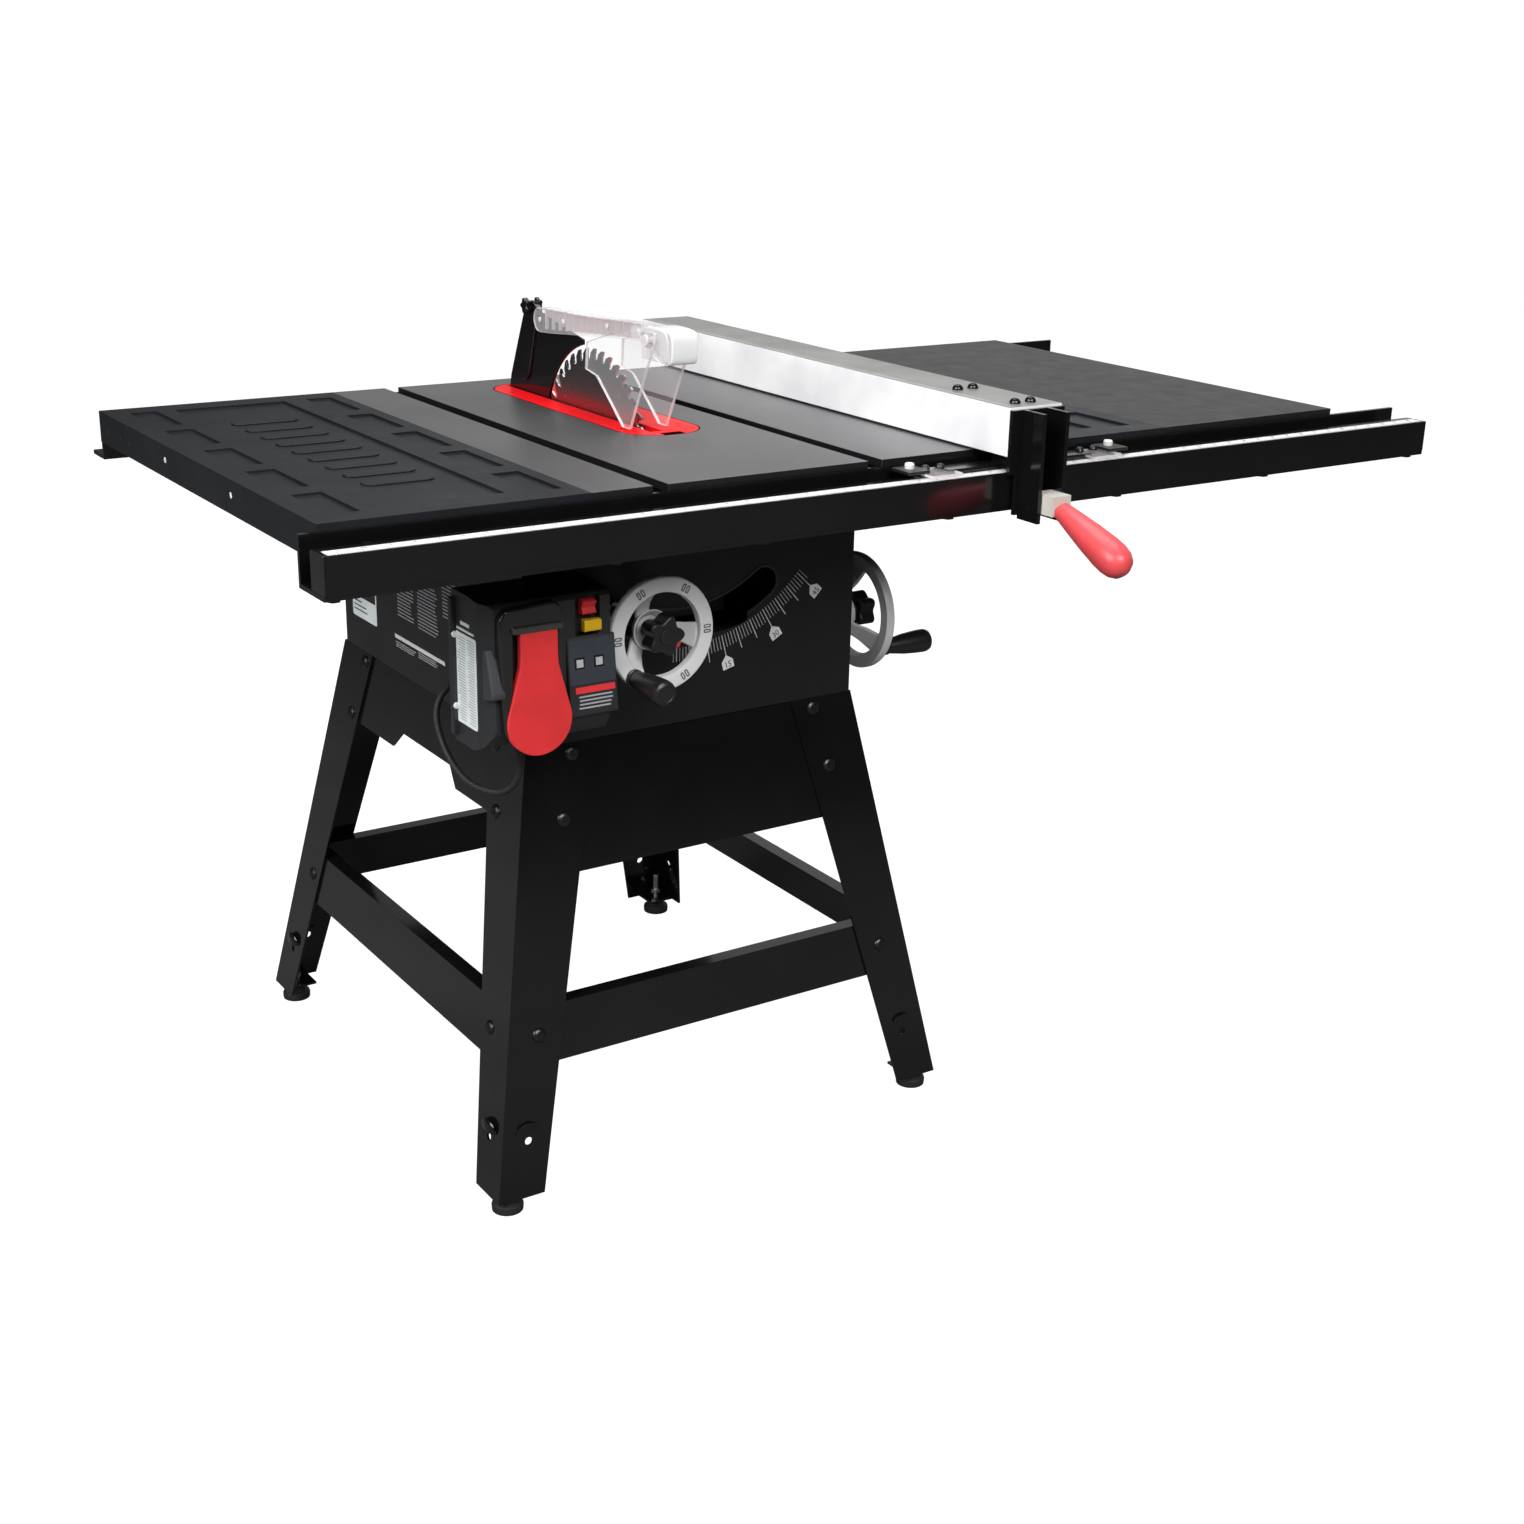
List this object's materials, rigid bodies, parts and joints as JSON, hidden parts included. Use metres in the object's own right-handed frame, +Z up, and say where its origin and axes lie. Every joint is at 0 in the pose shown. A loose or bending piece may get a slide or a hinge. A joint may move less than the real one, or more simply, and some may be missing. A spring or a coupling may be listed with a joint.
{
  "type": "table saw",
  "caption": "Contractor table saw on a splayed stand: cast table with stamped wings, tilting and rising blade, guard, T-square rip fence on long rails and a paddle switch.",
  "frame": {"origin": "on the floor, under the middle of the saw's outline", "axes": "+Z up, +X to the operator's right along the fence rails, +Y away from the operator along the cut"},
  "size_m": [1.541, 1.1589, 0.992],
  "materials": {
    "black_gloss": "gloss black paint",
    "charcoal_paint": "semi-gloss charcoal paint",
    "cast_table": "ground and oiled, dark satin",
    "bare_steel": "machined",
    "black_steel": "black oxide",
    "silver_wheel": "satin silver",
    "fence_white": "satin, pale silver",
    "red_insert": "bright red, satin",
    "red_plastic": "matte red",
    "red_grip": "glossy red",
    "yellow_plastic": "yellow",
    "black_plastic": "matte black",
    "box_plastic": "fine-textured charcoal",
    "white_tape": "printed tape",
    "clear_plastic": "clear polycarbonate",
    "laminate": "black satin laminate",
    "rubber": "black rubber",
    "nylon": "white nylon",
    "motor_paint": "black paint"
  },
  "bodies": {
    "frame": {"front_legs": "black_gloss", "rear_legs": "black_gloss", "stand_aprons": "black_gloss", "stand_stretchers": "black_gloss", "frame_bolts": "black_steel", "cabinet_front": "black_gloss", "cabinet_left": "black_gloss", "cabinet_right": "black_gloss", "cabinet_rear": "black_gloss", "table_top": "cast_table", "left_wing": "charcoal_paint", "right_wing": "charcoal_paint", "extension_table": "laminate", "table_insert": "red_insert", "front_rail": "black_gloss", "rear_rail": "black_gloss", "front_tube": "black_gloss", "tube_end_caps": "black_plastic", "scale_tape": "white_tape", "trunnions": "charcoal_paint", "switch_box": "box_plastic", "switch_cable": "rubber", "cable_glands": "black_plastic"},
    "foot_front_left": {"foot_front_left": "rubber"},
    "foot_front_right": {"foot_front_right": "rubber"},
    "foot_rear_left": {"foot_rear_left": "rubber"},
    "foot_rear_right": {"foot_rear_right": "rubber"},
    "cradle": {"cradle": "charcoal_paint", "motor_housing": "motor_paint", "spreader": "black_steel", "guard_bar": "clear_plastic"},
    "arm": {"arbor_arm": "charcoal_paint", "drive_belt": "rubber"},
    "arbor": {"arbor_shaft": "bare_steel", "saw_blade": "bare_steel"},
    "motor_rotor": {"motor_pulley": "bare_steel"},
    "shield_pin": {"shield_pin": "bare_steel"},
    "shield_left": {"shield_left": "clear_plastic"},
    "shield_right": {"shield_right": "clear_plastic"},
    "lift_wheel": {"handwheel_front": "silver_wheel", "elevation_shaft": "bare_steel"},
    "lift_crank": {"crank_handle_front": "black_plastic"},
    "lift_lock": {"lock_knob_front": "black_plastic"},
    "tilt_wheel": {"handwheel_right": "silver_wheel", "tilt_shaft": "bare_steel"},
    "tilt_crank": {"crank_handle_right": "black_plastic"},
    "tilt_lock": {"lock_knob_right": "black_plastic"},
    "fence": {"fence_tube": "fence_white", "fence_screws": "black_steel", "fence_faces": "fence_white", "fence_glides": "black_plastic", "fence_head": "black_gloss", "cursor_windows": "clear_plastic", "cursor_knobs": "nylon"},
    "clamp_lever": {"fence_lever": "bare_steel", "fence_grip": "red_grip"},
    "paddle": {"stop_paddle": "red_plastic"},
    "rocker": {"power_rocker": "red_plastic"},
    "key": {"safety_key": "yellow_plastic"},
    "insert_lever": {"insert_lever": "black_plastic"}
  },
  "joints": [
    {"name": "blade_tilt", "type": "hinge", "parent": "frame", "child": "cradle", "pos_m": [-0.2195, 0.0605, 0.864], "axis": [0, -1, 0], "range_deg": [0, 45]},
    {"name": "blade_lift", "type": "hinge", "parent": "cradle", "child": "arm", "pos_m": [-0.2605, -0.0595, 0.775], "axis": [-1, 0, 0], "range_deg": [0, 37.7], "deforming": ["drive_belt"]},
    {"name": "arbor_spin", "type": "hinge", "parent": "arm", "child": "arbor", "pos_m": [-0.2605, 0.0605, 0.816], "axis": [1, 0, 0], "continuous": true},
    {"name": "motor_spin", "type": "hinge", "parent": "cradle", "child": "motor_rotor", "pos_m": [-0.2905, 0.5015, 0.69], "axis": [1, 0, 0], "continuous": true},
    {"name": "shield_lift", "type": "hinge", "parent": "cradle", "child": "shield_pin", "pos_m": [-0.2195, -0.1075, 0.976], "axis": [1, 0, 0], "range_deg": [0, 29]},
    {"name": "left_shield_hinge", "type": "hinge", "parent": "shield_pin", "child": "shield_left", "pos_m": [-0.2445, -0.1075, 0.976], "axis": [1, 0, 0], "range_deg": [0, 50]},
    {"name": "right_shield_hinge", "type": "hinge", "parent": "shield_pin", "child": "shield_right", "pos_m": [-0.1945, -0.1075, 0.976], "axis": [1, 0, 0], "range_deg": [0, 50]},
    {"name": "lift_wheel_turn", "type": "hinge", "parent": "cradle", "child": "lift_wheel", "pos_m": [-0.3275, -0.1435, 0.679], "axis": [0, 1, 0], "range_deg": [-1, 1207.4]},
    {"name": "lift_crank_spin", "type": "hinge", "parent": "lift_wheel", "child": "lift_crank", "pos_m": [-0.36478, -0.3035, 0.63457], "axis": [0, 1, 0], "continuous": true},
    {"name": "lift_lock_turn", "type": "hinge", "parent": "lift_wheel", "child": "lift_lock", "pos_m": [-0.3275, -0.3035, 0.679], "axis": [0, 1, 0], "range_deg": [0, 540]},
    {"name": "tilt_wheel_turn", "type": "hinge", "parent": "frame", "child": "tilt_wheel", "pos_m": [-0.1505, -0.0975, 0.61], "axis": [1, 0, 0], "range_deg": [-1, 2701]},
    {"name": "tilt_crank_spin", "type": "hinge", "parent": "tilt_wheel", "child": "tilt_crank", "pos_m": [0.1095, -0.15156, 0.57214], "axis": [1, 0, 0], "continuous": true},
    {"name": "tilt_lock_turn", "type": "hinge", "parent": "tilt_wheel", "child": "tilt_lock", "pos_m": [0.0895, -0.0975, 0.61], "axis": [1, 0, 0], "range_deg": [0, 540]},
    {"name": "fence_slide", "type": "slide", "parent": "frame", "child": "fence", "axis": [1, 0, 0], "range_m": [-0.225, 0.493]},
    {"name": "clamp_lever_lift", "type": "hinge", "parent": "fence", "child": "clamp_lever", "pos_m": [0.085, -0.4315, 0.814], "axis": [-1, 0, 0], "range_deg": [0, 60]},
    {"name": "paddle_swing", "type": "hinge", "parent": "frame", "child": "paddle", "pos_m": [-0.4895, -0.2925, 0.732], "axis": [-1, 0, 0], "range_deg": [0, 10]},
    {"name": "rocker_tilt", "type": "hinge", "parent": "frame", "child": "rocker", "pos_m": [-0.4235, -0.278, 0.725], "axis": [1, 0, 0], "range_deg": [-7, 7]},
    {"name": "key_pull", "type": "slide", "parent": "frame", "child": "key", "axis": [0, -1, 0], "range_m": [0, 0.02]},
    {"name": "insert_lever_lift", "type": "hinge", "parent": "frame", "child": "insert_lever", "pos_m": [-0.205, -0.0945, 0.8619], "axis": [-1, 0, 0], "range_deg": [0, 75]},
    {"name": "front_left_foot_screw", "type": "slide", "parent": "frame", "child": "foot_front_left", "axis": [0, 0, -1], "range_m": [0, 0.012]},
    {"name": "front_right_foot_screw", "type": "slide", "parent": "frame", "child": "foot_front_right", "axis": [0, 0, -1], "range_m": [0, 0.012]},
    {"name": "rear_left_foot_screw", "type": "slide", "parent": "frame", "child": "foot_rear_left", "axis": [0, 0, -1], "range_m": [0, 0.012]},
    {"name": "rear_right_foot_screw", "type": "slide", "parent": "frame", "child": "foot_rear_right", "axis": [0, 0, -1], "range_m": [0, 0.012]}
  ],
  "couplings": [
    {"joint": "lift_wheel_turn", "follows": "blade_lift", "ratio": 32},
    {"joint": "tilt_wheel_turn", "follows": "blade_tilt", "ratio": 60},
    {"joint": "shield_lift", "follows": "blade_tilt", "ratio": 0.64},
    {"joint": "arbor_spin", "follows": "motor_spin", "ratio": 1.1333}
  ]
}
